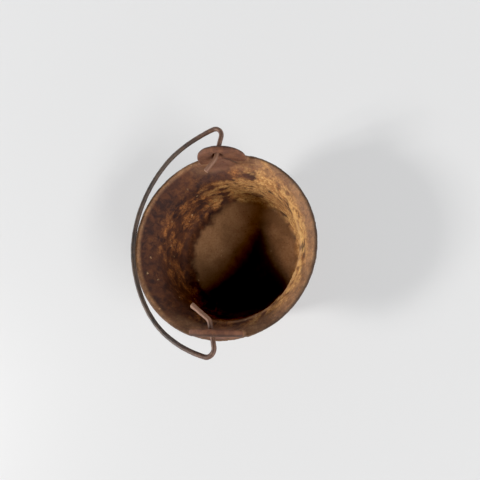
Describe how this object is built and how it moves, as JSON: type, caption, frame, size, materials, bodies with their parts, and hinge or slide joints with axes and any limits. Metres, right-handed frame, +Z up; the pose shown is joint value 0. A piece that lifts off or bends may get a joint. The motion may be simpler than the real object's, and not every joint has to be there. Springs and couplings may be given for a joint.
{
  "type": "bailed cast-iron kettle",
  "caption": "Small cast-iron kettle: flared bowl with a flat floor, upright eared rim and a swinging wire bail hooked through the ears.",
  "frame": {"origin": "centre of the foot ring's standing face, on the bowl's axis", "axes": "+Z up along the bowl's axis; Y runs through both ears, along the bail's pivot line; the bail lies towards -X at rest"},
  "size_m": [0.1919, 0.2272, 0.1085],
  "materials": {
    "cast_iron": "heavily rusted, rough",
    "wire": "dark oxide with rust at the ends"
  },
  "bodies": {
    "pot": {"pot": "cast_iron"},
    "bail": {"bail": "wire"}
  },
  "joints": [
    {"name": "bail_swing", "type": "hinge", "parent": "pot", "child": "bail", "pos_m": [0, 0, 0.0968], "axis": [0, 1, 0], "range_deg": [0, 199.3]}
  ]
}
